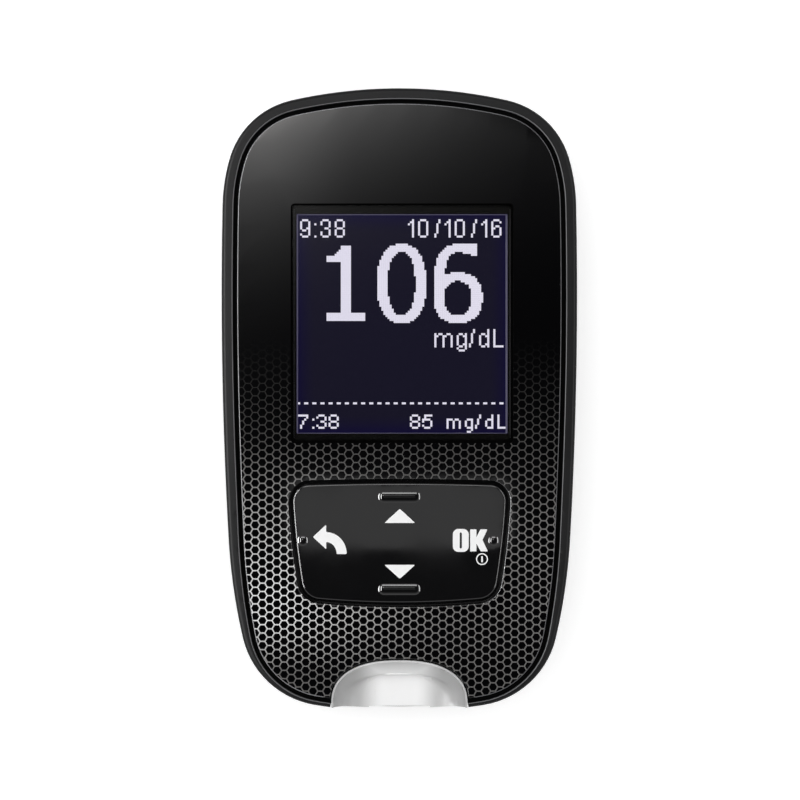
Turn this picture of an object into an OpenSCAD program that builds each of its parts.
// Blood glucose meter, lying on its back: +Z through the display, +Y towards the display end.
// The origin is the middle of the flat back.

/* [Housing] */
// Length of the body, from the display end to the strip end
body_length = 81.1; // [72:0.1:98]
// Width of the body
body_width = 46.2; // [42:0.1:56]
// Thickness of the body at the crown of the front
body_height = 19.6; // [19:0.1:24]
// How much lower the front is at its two ends than at its crown
crown_drop = 0.7; // [0.3:0.1:1.2]
// Wall thickness of both housings
wall = 1.5; // [1.3:0.05:1.9]
// Height of the line where the two housings meet
parting_z = 11; // [10.6:0.1:11.2]
// How far the flat of the back lies inside the outline
back_inset = 7; // [4:0.1:8]
// Rounding of the front's outer edge
edge_round = 0.5; // [0.4:0.1:1.4]
// Diameter of the boss that each board screw drives into
boss_d = 3.2; // [2.8:0.1:3.6]

/* [Front panel] */
// Width of the rim that shows around the front panel
rim_width = 1.45; // [1.2:0.05:1.8]
// Width of the groove between the rim and the front panel
panel_groove = 0.6; // [0.3:0.05:0.8]
// How much of the rim and groove is lost beside the strip port
rim_narrowing = 0.9; // [0:0.1:1]
// Thickness of the front panel at the crown
panel_thickness = 1.5; // [1.2:0.1:1.8]
// Thickness of the adhesive under the front panel
tape_thickness = 0.1; // [0.05:0.01:0.2]
// Thickness of the deck that carries the front panel
deck_thickness = 1.2; // [1:0.1:1.5]

/* [Display] */
// Width of the display window in the front panel
window_width = 28.9; // [24:0.1:30]
// Height of the display window in the front panel
window_height = 31.1; // [26:0.1:33]
// Middle of the display, to the right of the middle of the body
display_x = 0.35; // [-1:0.05:1]
// Middle of the display, above the middle of the body
display_y = 9.95; // [8:0.05:12]
// Gap around the display lens
lens_gap = 0.25; // [0.1:0.05:0.4]
// Width of the display's lit area
screen_width = 27.7; // [23:0.1:28.5]
// Height of the display's lit area
screen_height = 28.7; // [24:0.1:30]
// Thickness of the display glass
glass_thickness = 1.55; // [1.1:0.05:1.7]
// Thickness of the backlight panel
backlight_thickness = 0.95; // [0.7:0.05:1.1]

/* [Keys] */
// Width of the rocking key plate
key_width = 27.8; // [23:0.1:30]
// Height of the rocking key plate
key_height = 15.65; // [14:0.05:16.5]
// Middle of the key plate, above the middle of the body
key_y = -18.55; // [-20:0.05:-17.5]
// Gap around the key plate in the front panel
key_gap = 0.5; // [0.4:0.05:0.7]
// How far the hidden flange reaches beyond the key plate
key_flange = 1.1; // [0.9:0.05:1.3]
// Distance of the up and down switches from the middle of the plate
switch_reach_y = 3.2; // [2.8:0.1:4]
// Distance of the left and right switches from the middle of the plate
switch_reach_x = 10.4; // [8:0.1:11]
// Diameter of each dome switch
switch_d = 3.2; // [2.6:0.1:3.6]

/* [Strip port] */
// Width of the strip port
port_width = 17.7; // [15:0.1:20]
// Height of the port's arch, from the end of the body
port_height = 6.75; // [6:0.05:7.5]
// Width of the slot for the test strip
slot_width = 8.4; // [7:0.1:9]
// Height of the slot for the test strip
slot_height = 1.0; // [0.8:0.05:1.1]
// Height of the slot's floor above the circuit board
slot_rise = 1.6; // [1.5:0.05:1.8]
// Travel of the pusher that ejects a strip
eject_travel = 2.8; // [2.4:0.1:3]
// Length of the ejector lever's long arm
lever_long_arm = 8.6; // [8:0.1:9]
// Length of the ejector lever's short arm
lever_short_arm = 5.0; // [4.6:0.1:5.2]

/* [Power and data] */
// Diameter of each coin cell
cell_d = 20; // [16:0.1:20.5]
// Thickness of each coin cell
cell_thickness = 3.2; // [2.5:0.1:3.25]
// Middle of the coin cells, above the middle of the body
cell_y = 17.4; // [16.5:0.1:18]
// Width of the battery door
door_width = 24.1; // [23.6:0.1:25]
// Thickness of the battery door
door_thickness = 1.2; // [1:0.1:1.4]
// Width of the data socket
usb_width = 7.5; // [7:0.1:8]
// Height of the data socket
usb_height = 2.5; // [2.3:0.05:2.7]
// Thickness of the circuit board
board_thickness = 1.0; // [0.8:0.1:1.2]

/* [Hidden] */
$fn = 72;
eps = 0.01;
outline_tolerance = 0.02;
crown_band = 4;
fit = 0.15;      // sliding and placing clearance
running = 0.07;  // radial clearance of a shaft in its bore

// Each outline is the right half of a closed curve: arcs of [radius, degrees turned], clockwise
// from the middle of the top edge. A last arc closes it at the middle of the bottom edge.
body_arcs = [[64, 12.7], [10.8, 61], [23.6, 15.2], [581, 4.3], [76.3, 9.8], [11.5, 67.9]];
key_arcs = [[350, 1.95], [2.2, 91.5], [95, 6.1], [2.6, 75.5]];

// Heights in the stack, from the front down
crown_z = body_height;
deck_top = crown_z - panel_thickness - tape_thickness;
deck_under = deck_top - deck_thickness;
panel_z = deck_top + tape_thickness;
gasket_thickness = 0.3;
stack_gap = 0.05;
frame_top = deck_under - gasket_thickness;
glass_z = frame_top - glass_thickness - stack_gap;
backlight_z = glass_z - backlight_thickness - stack_gap;
frame_floor = 0.4;
board_top = backlight_z - frame_floor;
board_z = board_top - board_thickness;

// The front is part of a sphere with its top at crown_z
crown_reach = body_length / 2;
crown_radius = (pow(crown_reach, 2) + pow(crown_drop, 2)) / (2 * crown_drop);
function crown(r) = crown_z - crown_radius + sqrt(pow(crown_radius, 2) - pow(r, 2));

// ---- outlines made of arcs ----
function last(list) = list[len(list) - 1];

function arc_points(from, radius, sweep) =
    let (steps = max(1, ceil(sweep / (2 * acos(1 - outline_tolerance / radius)))))
    [for (k = [1:steps])
        let (turned = from[2] + sweep * k / steps)
        [from[0] + radius * (sin(turned) - sin(from[2])),
         from[1] + radius * (cos(turned) - cos(from[2])),
         turned]];

function arc_chain(arcs, from, i = 0) =
    i < len(arcs)
    ? let (next = arc_points(from, arcs[i][0], arcs[i][1]))
        concat(next, arc_chain(arcs, last(next), i + 1))
    : arc_points(from, from[0] / sin(from[2]), 180 - from[2]);

// Points of a closed outline of the given width and height, moved inwards by inset, which
// changes by extra at the bottom edge
function outline(arcs, width, height, middle_y, inset = 0, extra = 0) =
    let (half = arc_chain(arcs, [0, 0, 0]),
        drop = -last(half)[1],
        sx = width / 2 / max([for (p = half) p[0]]),
        sy = height / drop,
        right = [for (p = concat([[0, 0, 0]], half))
            let (y = (p[1] + drop / 2) * sy,
                n = [-sy * sin(p[2]), -sx * cos(p[2])],
                share = pow(max(0, -2 * y / height), 3),
                move = (inset + extra * share) / norm(n))
            [p[0] * sx + n[0] * move, y + middle_y + n[1] * move]],
        count = len(right))
    concat(right, [for (k = [count - 2:-1:1]) [-right[k][0], right[k][1]]]);

function body_points(inset = 0, extra = 0) =
    outline(body_arcs, body_width, body_length, 0, inset, extra);
// Half the width of the body at one place along it, less inset
function half_width(y, inset) =
    lookup(y, [for (p = body_points(inset)) if (p[0] > 0) [p[1], p[0]]]);
function key_points(inset = 0) = outline(key_arcs, key_width, key_height, key_y, inset);
function panel_points(inset = 0) =
    body_points(rim_width + panel_groove + inset, -rim_narrowing);

// The strip port: a flattened arch over a straight part that runs out of the body
port_arch_rise = 1.05;
port_arch_y = -body_length / 2 + port_arch_rise;
port_power = 2.4;
function port_points(inset = 0, back_inset = undef, reach = 4) =
    let (a = port_width / 2 - inset,
        b = port_height - port_arch_rise - (is_undef(back_inset) ? inset : back_inset))
    concat([[-a, -body_length / 2 - reach]],
        [for (t = [0:7.5:180])
            [-a * sign(cos(t)) * pow(abs(cos(t)), 2 / port_power),
             port_arch_y + b * pow(sin(t), 2 / port_power)]],
        [[a, -body_length / 2 - reach]]);

// ---- solids from outlines ----
// A closed surface through rings of points, each as long as the first and clockwise as seen
// from the top
module loft(rings, bottom, top) {
    n = len(rings[0]);
    sides = [for (k = [0:len(rings) - 2], i = [0:n - 1])
        [k * n + i, k * n + (i + 1) % n, (k + 1) * n + (i + 1) % n, (k + 1) * n + i]];
    low = len(rings) * n;
    bottom_fan = [for (i = [0:n - 1]) [low, (i + 1) % n, i]];
    high_ring = (len(rings) - 1) * n;
    top_fan = [for (i = [0:n - 1]) [low + 1, high_ring + i, high_ring + (i + 1) % n]];
    triangles = [for (q = sides) each [[q[0], q[1], q[2]], [q[0], q[2], q[3]]]];
    all_points = concat([for (ring = rings) each ring], [bottom, top]);
    polyhedron(all_points, concat(triangles, bottom_fan, top_fan));
}

function ring_middle(ring) = (ring[0] + ring[len(ring) / 2]) / 2;
function ring_at(points, z) = [for (p = points) [p[0], p[1], z]];
function ring_on_crown(points, below = 0) = [for (p = points) [p[0], p[1], crown(norm(p)) - below]];

module prism(points, z0, z1) {
    translate([0, 0, z0]) linear_extrude(z1 - z0) polygon(points);
}

// Everything under the crowned front, lowered by below
module under_crown(below = 0) {
    reach = crown_band * ceil(crown_reach / crown_band + 1);
    rotate_extrude($fn = 128)
        polygon(concat([for (r = [0:crown_band:reach]) [r, crown(r) - below]],
            [[reach, -1], [0, -1]]));
}

module block(x0, x1, y0, y1, z0, z1) {
    translate([x0, y0, z0]) cube([x1 - x0, y1 - y0, z1 - z0]);
}

// A block with rounded upright edges
module rounded_block(x0, x1, y0, y1, z0, z1, r) {
    translate([0, 0, z0]) linear_extrude(z1 - z0) union() {
        translate([x0 + r, y0]) square([x1 - x0 - 2 * r, y1 - y0]);
        translate([x0, y0 + r]) square([x1 - x0, y1 - y0 - 2 * r]);
        for (x = [x0 + r, x1 - r], y = [y0 + r, y1 - r]) translate([x, y]) circle(r, $fn = 24);
    }
}

module rod_x(x0, x1, y, z, r) {
    translate([x0, y, z]) rotate([0, 90, 0]) cylinder(h = x1 - x0, r = r);
}

module post(x, y, z0, z1, r) {
    translate([x, y, z0]) cylinder(h = z1 - z0, r = r);
}

// ---- shared places ----
// Ledges of the deck under the window, at its sides and at its ends
window_ledge_x = 0.35;
window_ledge_y = 0.65;
deck_opening_w = window_width - 2 * window_ledge_x;
deck_opening_h = window_height - 2 * window_ledge_y;

// Board screws, by their distance from the side and from the end of the body
upper_screw_inset = [4.8, 16.5];
lower_screw_inset = [9.1, 10.15];
screw_places = [for (side = [1, -1]) each [
    [side * (body_width / 2 - upper_screw_inset[0]), body_length / 2 - upper_screw_inset[1]],
    [side * (body_width / 2 - lower_screw_inset[0]), -body_length / 2 + lower_screw_inset[1]]]];
screw_r = 0.8;
screw_head_r = 1.5;
screw_head = 1.3;
screw_length = 3.6;

// Battery bay
base_thickness = wall;
cell_r = cell_d / 2;
cell_gap = 0.35;
bay_wall = 0.9;
bay_roof = 1.0;
bay_floor = 1.0;
bay_r = cell_r + cell_gap;
bay_low_y = cell_y - bay_r - bay_wall;
bay_high_y = cell_y + bay_r + bay_wall;

// Battery door, its hinge and its latch
door_sink = 0.2;
door_gap = 0.25;
door_half = door_width / 2;
door_top = door_sink + door_thickness;
opening_half = door_half + door_gap;
hinge_r = door_thickness / 2 + 0.7;
hinge_room = 0.2;
hinge_y = bay_high_y + hinge_r + 0.15;
hinge_z = door_sink + hinge_r;
hinge_pin_r = 0.7;
hinge_pin_length = 1.1;
latch_half = 4;
latch_sheet = 0.8;
latch_setback = 0.35;
latch_height = 2.2;
door_low_y = bay_low_y - latch_setback - latch_sheet - 0.65;
pad_thickness = 0.7;
pad_gap = 0.2;

// Cells and their contacts
cell_z = door_top + pad_thickness + pad_gap;
cells_top = cell_z + 2 * cell_thickness;
contact_sheet = 0.3;
contact_gap = 0.3;
bay_roof_z = cells_top + contact_sheet + contact_gap;
positive_y = cell_y + cell_r + stack_gap;
positive_half = 2.2;
positive_tab_x = 1.2;
negative_y = cell_y - 7;
negative_half = 4;
negative_tab_x = 3;
tab_half = 0.6;

// Strip connector behind the port
slot_z = board_top + slot_rise;
port_back_y = -body_length / 2 + port_height;
connector_tuck = 0.75;
connector_length = 4.8;
connector_wall = 1.8;
connector_y0 = port_back_y - connector_tuck;
connector_y1 = connector_y0 + connector_length;
connector_half = slot_width / 2 + connector_wall;
connector_top = deck_under - 0.2;
contact_places = [-2.25, -0.75, 0.75, 2.25];
contact_width = 0.6;

// Strip ejector, with the lever at the start of its swing
prong_tip_y = connector_y1 - 0.8;
pusher_bar = 2.0;
pusher_y0 = connector_y1 + eject_travel + 0.4;
lever_pin_y = pusher_y0 + pusher_bar / 2;
lever_swing = 2 * asin(eject_travel / 2 / lever_long_arm);
pivot = [10, lever_pin_y - eject_travel / 2];
button_travel = 2 * lever_short_arm * sin(lever_swing / 2);
short_tip = pivot + lever_short_arm * [sin(lever_swing / 2), cos(lever_swing / 2)];
long_tip = pivot + lever_long_arm * [-cos(lever_swing / 2), sin(lever_swing / 2)];
lever_z = board_top + 0.7;
lever_thickness = 0.8;
lever_top = lever_z + lever_thickness;
tip_r = 0.8;
finger_r = 0.45;
pivot_r = 0.75;
button_y = short_tip[1];
button_z = board_top + 1.35;
button_length = 8;
button_height = 3;
stem_r = 0.8;
stem_x0 = short_tip[0] + tip_r + fit;
guide_x0 = stem_x0 + 0.9;
guide_thickness = 1.1;
guide_x1 = guide_x0 + guide_thickness;
guide_half = 2.2;
spring_wire = 0.3;
spring_r = 1.05;
spring_turns = 4;
button_flange = 0.8;
flange_grow = 0.5;
flange_half = button_length / 2 + flange_grow;
flange_x1 = min([for (s = [-1, 1]) half_width(button_y + s * flange_half, wall)]) - 0.2;
flange_x0 = flange_x1 - button_flange;

// Keys
key_pivot_z = panel_z - 0.85;
mat_sheet = 0.6;
mat_z = deck_under - mat_sheet;
mat_edge = key_flange + 1.2;
flange_room = 0.4;
flange_z = deck_under + 0.08;
flange_top = deck_under + 0.4;
switch_base = 0.25;
switch_height = 0.7;
switch_places = [[0, key_y + switch_reach_y], [0, key_y - switch_reach_y],
    [switch_reach_x, key_y], [-switch_reach_x, key_y]];
foot_r = 1.2;
hub_r = 0.45;
hub_half = 2.4;
hub_room = 3.4;
saddle_at = hub_half - 0.5;
saddle_half = 0.4;
key_sink = 0.1;         // how far the plate lies below the front's dome
feel_rise = 0.07;       // how far the bars and nubs stand above it
bar_half = 2.74;
bar_r = 0.75;
bar_inset = 1.83;       // from the plate's upper and lower edge to the middle of a bar
nub_r = 0.7;
nub_insets = [1.07, 1.65];  // from the plate's left and right edge
nub_y = key_y + 0.31;

// Display glass and its cable
glass_margin = 0.75;
ledge = 2.2;
glass_x0 = display_x - screen_width / 2 - glass_margin;
glass_x1 = display_x + screen_width / 2 + glass_margin;
glass_y0 = display_y - screen_height / 2 - glass_margin;
glass_y1 = display_y + screen_height / 2 + glass_margin + ledge;
frame_wall = 1.0;
frame_gap = 0.1;
ribbon_sheet = 0.15;
ribbon_width = 7;
plug_side = 0.6;
plug_y0 = glass_y1 + 3.3;
plug_depth = 2.2;

// Data socket, with the display's plug beside it
usb_sheet = 0.3;
usb_depth = 5.5;
usb_y1 = body_length / 2 - wall - 0.1;
usb_y0 = usb_y1 - usb_depth;
plug_x0 = usb_width / 2 + 0.65;
plug_x1 = plug_x0 + ribbon_width + 2 * plug_side;
ribbon_x0 = plug_x0 + plug_side;

// ---- casings ----
module front_housing() color("#2c2c2e") {
    steps = 4;
    difference() {
        union() {
            difference() {
                loft(concat([ring_at(body_points(), parting_z)],
                        [for (k = [0:steps])
                            let (a = 90 * k / steps)
                            ring_on_crown(body_points(edge_round * (1 - cos(a))),
                                edge_round * (1 - sin(a)))],
                        [ring_on_crown(body_points(rim_width + panel_groove + 0.6))]),
                    [0, 0, parting_z], [0, 0, crown_z]);
                prism(body_points(wall), parting_z - 1, deck_under);
                prism(body_points(rim_width, -rim_narrowing), deck_top, crown_z + 1);
            }
            for (p = screw_places) post(p[0], p[1], board_top, deck_under + eps, boss_d / 2);
        }
        for (p = screw_places)
            post(p[0], p[1], board_top - 1, board_top + screw_length, screw_r);
        block(display_x - deck_opening_w / 2, display_x + deck_opening_w / 2,
            display_y - deck_opening_h / 2, display_y + deck_opening_h / 2,
            deck_under - 1, crown_z + 1);
        prism(key_points(-key_flange - flange_room), deck_under - 1, crown_z + 1);
        prism(port_points(-fit), parting_z + 1.2, crown_z + 1);
        usb_mouth(0.35);
        button_mouth();
        snap_beads(0.12);
    }
}

module usb_mouth(gap) {
    rounded = 0.6;
    translate([0, body_length / 2 + 2, 0]) rotate([90, 0, 0])
        rounded_block(-usb_width / 2 - gap, usb_width / 2 + gap,
            board_top - gap, board_top + usb_height + gap, 0, wall + 4, rounded);
}

module button_profile(gap) {
    rotate([90, 0, 90]) linear_extrude(body_width) {
        r = button_height / 2 + gap;
        square_half = button_length / 2 - button_height / 2;
        translate([button_y - square_half, button_z - r]) square([2 * square_half, 2 * r]);
        for (s = [-1, 1]) translate([button_y + s * square_half, button_z]) circle(r);
    }
}

module button_mouth() {
    translate([flange_x1, 0, 0]) button_profile(0.2);
}

// Beads on the rear housing's lip, and with a gap the pockets that they snap into
module snap_beads(gap) {
    z = parting_z + 0.45;
    for (y = [14, -12])
        intersection() {
            difference() {
                prism(body_points(wall - 0.2 - gap), z - gap, z + 0.5 + gap);
                prism(body_points(wall + 0.5), z - 1, z + 2);
            }
            block(-body_width, body_width, y - 3 - gap, y + 3 + gap, z - 2, z + 2);
        }
}

function back_profile(step, steps, thick) =
    let (t = 90 * step / steps, power = 2 / 2.7)
    [thick + back_inset * (1 - pow(sin(t), power)),
     thick + (parting_z - thick) * (1 - pow(cos(t), power))];

module back_shell(thick) {
    steps = 7;
    rings = [for (k = [0:steps])
        let (p = back_profile(k, steps, thick)) ring_at(body_points(p[0]), p[1])];
    more = thick > 0 ? [ring_at(body_points(thick), parting_z + 1)] : [];
    loft(concat(rings, more), [0, 0, thick], [0, 0, thick > 0 ? parting_z + 1 : parting_z]);
}

module rear_housing() color("#252527") {
    lip = 0.8;
    lip_gap = 0.15;
    lip_top = parting_z + 1.2;
    ear_width = 1.9;
    ear_y0 = hinge_y - hinge_r - 0.3;
    hinge_end_y = hinge_y + hinge_r + hinge_room;
    pin_end = opening_half + hinge_pin_length + 0.1;
    tab_slot = tab_half + fit;
    pocket_y1 = bay_high_y - bay_wall / 2;
    latch_y1 = door_low_y + latch_sheet + 2 * latch_setback;
    difference() {
        union() {
            difference() {
                back_shell(0);
                back_shell(wall);
            }
            difference() {
                prism(body_points(wall - 0.3), parting_z - 1.5, parting_z);
                prism(body_points(wall + lip_gap + lip), parting_z - 2, parting_z + 1);
            }
            difference() {
                prism(body_points(wall + lip_gap), parting_z - eps, lip_top);
                prism(body_points(wall + lip_gap + lip), parting_z - 1, lip_top + 1);
            }
            snap_beads(0);
            post(0, cell_y, base_thickness - eps, bay_roof_z + bay_roof, bay_r + bay_wall);
            block(-opening_half - bay_wall, opening_half + bay_wall,
                door_low_y - bay_wall, bay_high_y,
                base_thickness - eps, base_thickness + bay_floor);
            for (x = [opening_half, -opening_half - ear_width])
                block(x, x + ear_width, ear_y0, hinge_end_y,
                    base_thickness - eps, hinge_z + hinge_r + hinge_room);
        }
        block(-opening_half, opening_half, door_low_y - door_gap, hinge_end_y,
            -1, base_thickness + eps);
        rod_x(-opening_half, opening_half, hinge_y, hinge_z, hinge_r + hinge_room);
        post(0, cell_y, base_thickness - 1, bay_roof_z, bay_r);
        block(-latch_half - 2 * fit, latch_half + 2 * fit, door_low_y - door_gap, latch_y1,
            0, base_thickness + 2);
        // clear of the contacts: one at the upper end of the bay, one under its roof
        block(-positive_half - 2 * fit, positive_half + 2 * fit, cell_y, pocket_y1,
            base_thickness - 1, bay_roof_z);
        for (s = [-1, 1]) {
            block(s * positive_tab_x - tab_slot, s * positive_tab_x + tab_slot,
                positive_y - fit, pocket_y1, bay_roof_z - 1, bay_roof_z + bay_roof + 1);
            block(s * negative_tab_x - tab_slot, s * negative_tab_x + tab_slot,
                negative_y - contact_sheet / 2 - fit, negative_y + contact_sheet / 2 + fit,
                bay_roof_z - 1, bay_roof_z + bay_roof + 1);
            rod_x(s > 0 ? 0 : -pin_end, s > 0 ? pin_end : 0,
                hinge_y, hinge_z, hinge_pin_r + running);
        }
    }
}

// ---- front panel ----
module panel_openings(key_room, window_room, z0) {
    prism(key_points(-key_room), z0, crown_z + 1);
    rounded_block(display_x - window_width / 2 - window_room,
        display_x + window_width / 2 + window_room,
        display_y - window_height / 2 - window_room,
        display_y + window_height / 2 + window_room, z0, crown_z + 1, 0.5);
    prism(port_points(-fit - 0.05), z0, crown_z + 1);
}

module fascia_panel() color("#121213") intersection() {
    difference() {
        prism(panel_points(), panel_z, crown_z + 1);
        panel_openings(key_gap, 0, panel_z - 1);
    }
    under_crown();
}

module fascia_tape() color("#3a3a36") difference() {
    prism(panel_points(0.4), deck_top, panel_z);
    prism(key_points(-key_flange - flange_room), deck_top - 1, panel_z + 1);
    block(display_x - deck_opening_w / 2 - 0.1, display_x + deck_opening_w / 2 + 0.1,
        display_y - deck_opening_h / 2 - 0.1, display_y + deck_opening_h / 2 + 0.1,
        deck_top - 1, panel_z + 1);
    prism(port_points(-fit - 0.3), deck_top - 1, panel_z + 1);
}

module display_lens() color("#1d1d1f", 0.6) intersection() {
    rounded_block(display_x - window_width / 2 + lens_gap,
        display_x + window_width / 2 - lens_gap,
        display_y - window_height / 2 + lens_gap,
        display_y + window_height / 2 - lens_gap, panel_z, crown_z + 1, 0.4);
    under_crown(0.05);
}

// ---- display ----
module lens_gasket() color("#1a1a1a") {
    room = 0.2;
    half_w = screen_width / 2 + room;
    half_h = screen_height / 2 + room;
    difference() {
        block(glass_x0, glass_x1, glass_y0, glass_y1 - ledge, frame_top, deck_under);
        block(display_x - half_w, display_x + half_w, display_y - half_h, display_y + half_h,
            frame_top - 1, deck_under + 1);
    }
}

module lcd_glass() color("#1b1826") {
    lower = glass_thickness / 2;
    block(glass_x0, glass_x1, glass_y0, glass_y1, glass_z, glass_z + lower);
    block(glass_x0, glass_x1, glass_y0, glass_y1 - ledge,
        glass_z + lower - eps, glass_z + glass_thickness);
}

module backlight_panel() color("#e8e8f4")
    block(glass_x0 + frame_gap, glass_x1 - frame_gap, glass_y0 + frame_gap, glass_y1 - frame_gap,
        backlight_z, backlight_z + backlight_thickness);

module lcd_frame() color("#e4e4e0") difference() {
    block(glass_x0 - frame_wall, glass_x1 + frame_wall, glass_y0 - frame_wall,
        glass_y1 + frame_wall, board_top, frame_top);
    block(glass_x0 - frame_gap, glass_x1 + frame_gap, glass_y0 - frame_gap, glass_y1 + frame_gap,
        board_top + frame_floor, frame_top + 1);
    // way out for the cable
    block(ribbon_x0 - 1, ribbon_x0 + ribbon_width + 1, glass_y1 - 1, glass_y1 + frame_wall + 1,
        glass_z + 0.6, frame_top + 1);
}

// The flat cable steps down from the ledge of the glass to its plug on the board
module lcd_ribbon() color("#b5722a") {
    h = ribbon_sheet / 2;
    z0 = glass_z + glass_thickness / 2 + h;
    z1 = board_top + 0.5;
    path = [[glass_y1 - ledge + 0.3, z0], [glass_y1 + 1.5, z0], [glass_y1 + 2.3, z1],
        [plug_y0, z1]];
    translate([ribbon_x0, 0, 0]) rotate([90, 0, 90]) linear_extrude(ribbon_width)
        polygon(concat([for (p = path) [p[0], p[1] + h]],
            [for (k = [len(path) - 1:-1:0]) [path[k][0], path[k][1] - h]]));
}

// ---- circuit board ----
module circuit_board() color("#1f6b3a") difference() {
    prism(body_points(wall + 1.1), board_z, board_top);
    prism(port_points(-0.5), board_z - 1, board_top + 1);
    block(guide_x1 + 0.1, body_width, button_y - flange_half - flange_room,
        button_y + flange_half + flange_room, board_z - 1, board_top + 1);
    for (p = screw_places) post(p[0], p[1], board_z - 1, board_top + 1, screw_r + 0.1);
    post(pivot[0], pivot[1], board_z - 1, board_top + 1, pivot_r);
}

module board_screws() color("#8d8f92") {
    cross = [1.8, 0.35, 1.2];
    for (p = screw_places) difference() {
        union() {
            post(p[0], p[1], board_z - screw_head, board_z, screw_head_r);
            post(p[0], p[1], board_z - eps, board_top + screw_length - 0.6, screw_r);
        }
        for (a = [0, 90])
            translate([p[0], p[1], board_z - screw_head]) rotate([0, 0, a])
                cube(cross, center = true);
    }
}

// A chip with a row of leads along two of its sides
module microcontroller() color("#202022") {
    side = 9;
    x0 = -12.5;
    y0 = -8.5;
    stand_off = 0.1;
    chip_height = 1.0;
    lead = [0.3, 0.7, 0.35];
    lead_pitch = 1.05;
    first_lead = 0.6;
    block(x0, x0 + side, y0, y0 + side, board_z - stand_off - chip_height, board_z - stand_off);
    for (k = [0:7], y = [y0 - lead[1], y0 + side - eps])
        translate([x0 + first_lead + k * lead_pitch, y, board_z - lead[2]])
            cube(lead + [0, eps, 0]);
}

// A small board with a metal can over its radio
module radio_module() color("#b9bcc0") {
    x0 = 2;
    y0 = -18;
    base = [13, 12, 0.6];
    can = [11.4, 7.8, 1.2];
    can_inset = [0.8, 0.6];
    translate([x0, y0, board_z - base[2]]) cube(base);
    translate([x0 + can_inset[0], y0 + can_inset[1], board_z - base[2] - can[2]])
        cube(can + [0, 0, eps]);
}

module beeper() color("#2b2b2d") {
    place = [-8, -22];
    r = 4.5;
    can_z = board_z - 2.6;
    lid = 0.3;
    sound_hole_r = 0.8;
    difference() {
        union() {
            post(place[0], place[1], can_z, board_z, r);
            post(place[0], place[1], can_z - lid, can_z + eps, r - 0.4);
        }
        post(place[0], place[1], can_z - 1, board_z - 1.2, sound_hole_r);
    }
}

// Equal parts in a row, on the board or, with below, under it
module part_row(count, corner, step, size, below = false) {
    z = below ? board_z - size[2] : board_top;
    for (k = [0:count - 1])
        translate([corner[0] + k * step[0], corner[1] + k * step[1], z]) cube(size);
}

module board_parts() color("#6d5a3c") {
    part_row(1, [plug_x0, plug_y0], [0, 0], [plug_x1 - plug_x0, plug_depth, 1.1]);
    part_row(6, [-16.5, 1.4], [0, -2.2], [1.6, 0.8, 0.7], below = true);
    part_row(5, [2.5, -3.4], [2.3, 0], [0.8, 1.6, 0.7], below = true);
    part_row(4, [-2.4, -5.2], [0, -2.6], [1.8, 1.0, 1.0], below = true);
    part_row(1, [7.5, -25.5], [0, 0], [4, 3, 1.4], below = true);
    part_row(4, [-19.2, -4], [0, 2.6], [0.8, 1.6, 0.6]);
    part_row(3, [-12.2, -28.6], [1.6, 0], [0.9, 1.7, 0.6]);
    // a round choke
    post(3.5, -24.5, board_z - 2.2, board_z, 2.1);
}

// ---- keys ----
module dome_switches() color("#c9cbcd") for (p = switch_places) {
    post(p[0], p[1], board_top, board_top + switch_base, switch_d / 2);
    post(p[0], p[1], board_top + switch_base - eps, board_top + switch_height,
        switch_d / 2 - 0.5);
}

// A sheet with a foot over each switch, and a cradle for the rocker hub
module keypad_mat() color("#4a4a4e") difference() {
    union() {
        prism(key_points(-mat_edge), mat_z, deck_under);
        for (p = switch_places)
            post(p[0], p[1], board_top + switch_height + fit, mat_z + eps, foot_r);
        for (x = [-saddle_at, saddle_at])
            block(x - saddle_half, x + saddle_half, key_y - 1, key_y + 1,
                deck_under - eps, key_pivot_z);
    }
    rod_x(-hub_half - 0.2, hub_half + 0.2, key_y, key_pivot_z, hub_r + running);
}

module rod_y(y0, y1, x, z, r) {
    translate([x, y1, z]) rotate([90, 0, 0]) cylinder(h = y1 - y0, r = r);
}

// A cross whose one arm turns in the mat and whose other arm carries the key plate
module rocker_hub() color("#5a5a5f") union() {
    rod_x(-hub_half, hub_half, key_y, key_pivot_z, hub_r);
    rod_y(key_y - hub_half, key_y + hub_half, 0, key_pivot_z, hub_r);
}

module key_plate() color("#161617") union() {
    intersection() {
        difference() {
            union() {
                prism(key_points(), flange_top - eps, crown_z + 1);
                prism(key_points(-key_flange), flange_z, flange_top);
            }
            // room for the hub, whose saddles stay
            difference() {
                post(0, key_y, flange_z - 1, key_pivot_z + 1.0, hub_room);
                for (y = [key_y - saddle_at, key_y + saddle_at])
                    block(-1, 1, y - saddle_half, y + saddle_half, key_pivot_z, key_pivot_z + 2);
            }
            rod_y(key_y - hub_half - 0.2, key_y + hub_half + 0.2, 0, key_pivot_z,
                hub_r + running);
        }
        under_crown(key_sink);
    }
    // bars and nubs that a finger can feel
    intersection() {
        union() {
            for (side = [-1, 1]) {
                y = key_y + side * (key_height / 2 - bar_inset);
                block(bar_r - bar_half, bar_half - bar_r, y - bar_r, y + bar_r,
                    crown_z - 1.4, crown_z + 1);
                for (x = [bar_r - bar_half, bar_half - bar_r])
                    post(x, y, crown_z - 1.4, crown_z + 1, bar_r);
            }
            for (x = [nub_insets[0] - key_width / 2, key_width / 2 - nub_insets[1]])
                post(x, nub_y, crown_z - 1.2, crown_z + 1, nub_r);
        }
        under_crown(-feel_rise);
    }
}

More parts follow.
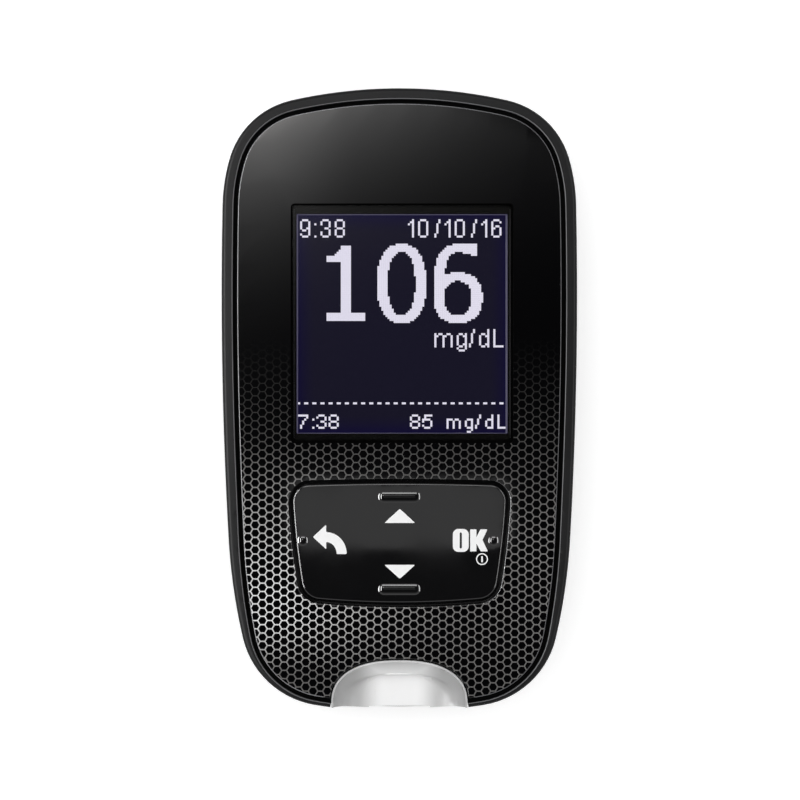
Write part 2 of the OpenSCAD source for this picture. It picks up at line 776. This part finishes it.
// ---- strip port ----
module strip_port() color("#d4d6d8", 0.8) {
    rim = 0.2;
    side_run = 4.0;
    wall_run = 1.85;
    floor_slope = 0.14;
    floor_y = port_back_y - rim - wall_run;
    slot_lead = 1.5;
    lip_z = slot_z + slot_height + 0.3;
    scoop_z = crown_z - 0.4;
    scoop_depth = scoop_z - slot_z;
    channel_half = 3.2;
    channel_depth = 0.15;
    connector_room = 0.25;
    notch_half = 4;
    notch_depth = 0.3;
    lug_half = 1.5;
    lug_x = port_width / 2 + 0.2;
    lug_y0 = -body_length / 2 + 3.4;
    lug_y1 = lug_y0 + 1.8;
    lug_top = deck_under - 0.1;
    // The scoop's sides roll in to its floor. Its back runs down to a lip above the slot.
    steps = 6;
    scoop_rings = [for (k = [0:steps])
        let (t = 90 * (1 - k / steps),
            drop = scoop_depth * sin(t),
            ramp = min(1, drop / (scoop_z - lip_z)))
        [for (p = port_points(rim + side_run * (1 - cos(t)), rim + wall_run * pow(ramp, 1.25)))
            [p[0], p[1], scoop_z - drop + floor_slope * (p[1] - floor_y) * sin(t)]]];
    channel = [for (p = [[-1, -1], [-1, 1], [1, 1], [1, -1]])
        [p[0] * channel_half, p[1] > 0 ? floor_y - 0.05 : -body_length / 2 - 3]];
    channel_ring = [for (p = channel)
        [p[0], p[1], slot_z - channel_depth + floor_slope * (p[1] - floor_y)]];
    difference() {
        union() {
            intersection() {
                prism(port_points(), parting_z + 1.35, crown_z + 1);
                prism(body_points(), parting_z, crown_z + 1);
                under_crown();
            }
            // lugs that hook under the deck
            for (x = [-lug_x, lug_x])
                block(x - lug_half, x + lug_half, lug_y0, lug_y1, lug_top - 2.1, lug_top);
        }
        loft(concat(scoop_rings, [ring_at(port_points(rim), crown_z + 1)]),
            [0, floor_y - 2, slot_z - floor_slope * 2], [0, floor_y - 2, crown_z + 1]);
        loft([channel_ring, ring_at(channel, lip_z)],
            ring_middle(channel_ring), concat(ring_middle(channel), [lip_z]));
        block(-slot_width / 2, slot_width / 2, floor_y - slot_lead, port_back_y + 1,
            slot_z, slot_z + slot_height);
        block(-connector_half - connector_room, connector_half + connector_room,
            connector_y0 - fit, port_back_y + 1, parting_z, deck_under + fit);
        block(-notch_half, notch_half, -body_length, -body_length / 2 + notch_depth,
            parting_z, crown_z + 1);
    }
}

// Lamps that light the port from behind
module port_lamps() color("#f2f2ea") {
    lamp = [1.8, 1.0, 0.9];
    lamp_x = 8.2;
    for (x = [-lamp_x, lamp_x])
        translate([x - lamp[0] / 2, port_back_y + 0.75, board_top]) cube(lamp);
}

module strip_connector() color("#17171a") difference() {
    block(-connector_half, connector_half, connector_y0, connector_y1, board_top, connector_top);
    block(-slot_width / 2, slot_width / 2, connector_y0 - 1, connector_y1 + 1,
        slot_z, slot_z + slot_height);
    for (x = contact_places)
        block(x - contact_width / 2 - 0.1, x + contact_width / 2 + 0.1, connector_y0 + 0.5,
            connector_y1 + 1, board_top - 1, slot_z + eps);
}

// Springs that rise from the board into the slot and dip again at their tips
module strip_contacts() color("#c8a24a") {
    t = 0.2;
    y = connector_y1;
    top = slot_z + 0.15;
    tip = slot_z - 0.35;
    for (x = contact_places)
        translate([x - contact_width / 2, 0, 0]) rotate([90, 0, 90])
            linear_extrude(contact_width)
                polygon([[y + 0.9, board_top], [y + 0.9, board_top + t], [y - 0.7, board_top + t],
                    [y - 3.2, top], [y - 3.9, tip], [y - 3.9, tip - t], [y - 3.2, top - t],
                    [y - 0.9, board_top]]);
}

// ---- data socket ----
module usb_cavity(y0) {
    block(-usb_width / 2 + usb_sheet, usb_width / 2 - usb_sheet, y0, usb_y1 + 1,
        board_top + usb_sheet, board_top + usb_height - usb_sheet);
}

module usb_shell() color("#b7babd") difference() {
    block(-usb_width / 2, usb_width / 2, usb_y0, usb_y1, board_top, board_top + usb_height);
    usb_cavity(usb_y0 + 0.4);
}

module usb_tongue() color("#1c1c1e") {
    base_y1 = usb_y0 + 1.2;
    tongue_half = 1.9;
    tongue_z = board_top + usb_height / 2;
    tongue_thickness = 0.55;
    difference() {
        usb_cavity(usb_y0 + 0.4);
        block(-usb_width, usb_width, base_y1, usb_y1 + 2, board_top, board_top + usb_height);
    }
    block(-tongue_half, tongue_half, base_y1 - eps, usb_y1 - 0.9,
        tongue_z, tongue_z + tongue_thickness);
}

// ---- power ----
module coin_cell(z) {
    step = 0.5;
    rim = 1.2;
    post(0, cell_y, z, z + cell_thickness - step, cell_r);
    post(0, cell_y, z + cell_thickness - step - eps, z + cell_thickness, cell_r - rim);
}

module inner_cell() color("#c3c6c9") coin_cell(cell_z + cell_thickness);
module outer_cell() color("#bfc2c5") coin_cell(cell_z);

module contact_tab(x, y0, z0) {
    block(x - tab_half, x + tab_half, y0, y0 + contact_sheet, z0, board_z);
}

module negative_contact() color("#cfc9b4") {
    block(-negative_half, negative_half, negative_y, cell_y + 5,
        cells_top, cells_top + contact_sheet);
    for (x = [-negative_tab_x, negative_tab_x])
        contact_tab(x, negative_y - contact_sheet / 2, cells_top + contact_sheet - eps);
}

module positive_contact() color("#cfc9b4") {
    top = bay_roof_z - contact_gap;
    block(-positive_half, positive_half, positive_y, positive_y + contact_sheet,
        cell_z + 0.3, top);
    for (x = [-positive_tab_x, positive_tab_x]) contact_tab(x, positive_y, top - eps);
}

module battery_door() color("#222224") {
    latch_y0 = door_low_y + latch_setback;
    recess_r = 6;
    recess_depth = 0.4;
    difference() {
        union() {
            block(-door_half, door_half, door_low_y, hinge_y, door_sink, door_top);
            rod_x(-door_half, door_half, hinge_y, hinge_z, hinge_r);
            block(-latch_half, latch_half, latch_y0, latch_y0 + latch_sheet,
                door_top - eps, door_top + latch_height);
        }
        // finger recess
        translate([0, door_low_y + 4, door_sink + recess_depth - recess_r])
            sphere(r = recess_r);
    }
    rod_x(-door_half - hinge_pin_length, door_half + hinge_pin_length,
        hinge_y, hinge_z, hinge_pin_r);
}

module door_pad() color("#3b3b40") {
    half = 6;
    block(-half, half, cell_y - half, cell_y + half, door_top, door_top + pad_thickness);
}

// ---- strip ejector ----
module button_guide() color("#e3e2dc") difference() {
    block(guide_x0, guide_x1, button_y - guide_half, button_y + guide_half,
        board_top, mat_z - fit);
    rod_x(guide_x0 - 1, guide_x1 + 1, button_y, button_z, stem_r + running);
}

module ejector_button() color("#3a3a3d") {
    intersection() {
        translate([flange_x1 - eps, 0, 0]) button_profile(0);
        prism(body_points(0.05), board_z, crown_z);
    }
    intersection() {
        translate([flange_x0, 0, 0]) button_profile(flange_grow);
        block(flange_x0, flange_x1, button_y - button_length, button_y + button_length,
            button_z - button_height / 2, deck_under - 0.1);
    }
    rod_x(stem_x0, flange_x0 + eps, button_y, button_z, stem_r);
}

module ejector_lever() color("#d9d9d6") {
    hub = 1.9;
    difference() {
        union() {
            arm(pivot, short_tip, tip_r);
            arm(pivot, long_tip, tip_r - 0.05);
            post(pivot[0], pivot[1], lever_z, lever_top, hub);
            post(short_tip[0], short_tip[1], lever_z, button_z + 0.6, tip_r);
            post(long_tip[0], long_tip[1], lever_z, slot_z + 0.8, finger_r);
        }
        post(pivot[0], pivot[1], lever_z - 1, lever_top + 1, pivot_r + running);
    }
}

module arm(a, b, r) {
    d = b - a;
    translate([a[0], a[1], lever_z]) rotate([0, 0, atan2(d[1], d[0])])
        translate([0, -0.8 * r, 0]) cube([norm(d), 1.6 * r, lever_thickness]);
    post(b[0], b[1], lever_z, lever_top, r);
}

module lever_pin() color("#9a9da0") {
    collar_r = 1.4;
    head_r = 1.3;
    head_z = lever_top + 0.1;
    post(pivot[0], pivot[1], board_z - 0.4, head_z + 0.1, pivot_r);
    post(pivot[0], pivot[1], board_top, lever_z - 0.1, collar_r);
    post(pivot[0], pivot[1], head_z, head_z + 0.5, head_r);
}

// A bar behind the connector, with two prongs that reach into its slot
module strip_pusher() color("#e0dfd8") {
    z0 = slot_z + 0.1;
    z1 = slot_z + slot_height - 0.1;
    bar_half = slot_width / 2 - 0.1;
    prong_half = 0.45;
    prong_x = bar_half - prong_half - 0.05;
    slot_x = pivot[0] - lever_long_arm * (1 + cos(lever_swing / 2)) / 2;
    slot_half = [finger_r + 0.35, finger_r + 0.2];
    difference() {
        union() {
            block(-bar_half, bar_half, pusher_y0, pusher_y0 + pusher_bar, z0, z1);
            for (x = [-prong_x, prong_x])
                block(x - prong_half, x + prong_half, prong_tip_y, pusher_y0 + eps, z0, z1);
        }
        block(slot_x - slot_half[0], slot_x + slot_half[0],
            lever_pin_y - slot_half[1], lever_pin_y + slot_half[1], z0 - 1, z1 + 1);
    }
}

// A coil spring on the button's stem, as rings of points along a helix
module ejector_spring() color("#b4b7ba") {
    length = flange_x0 - guide_x1 - spring_wire;
    sides = 6;
    per_turn = 16;
    steps = spring_turns * per_turn;
    rings = [for (k = [0:steps])
        let (turn = 360 * k / per_turn,
            x = guide_x1 + spring_wire / 2 + length * k / steps)
        [for (s = [0:sides - 1])
            let (a = -360 * s / sides, r = spring_r + spring_wire / 2 * cos(a))
            [x + spring_wire / 2 * sin(a), button_y + r * cos(turn), button_z + r * sin(turn)]]];
    loft(rings, ring_middle(rings[0]), ring_middle(last(rings)));
}

front_housing();
rear_housing();
fascia_panel();
fascia_tape();
display_lens();
lens_gasket();
lcd_glass();
lcd_frame();
backlight_panel();
lcd_ribbon();
circuit_board();
board_screws();
microcontroller();
radio_module();
board_parts();
beeper();
dome_switches();
keypad_mat();
rocker_hub();
key_plate();
strip_port();
port_lamps();
strip_connector();
strip_contacts();
usb_shell();
usb_tongue();
inner_cell();
outer_cell();
positive_contact();
negative_contact();
battery_door();
door_pad();
ejector_button();
button_guide();
ejector_lever();
lever_pin();
strip_pusher();
ejector_spring();
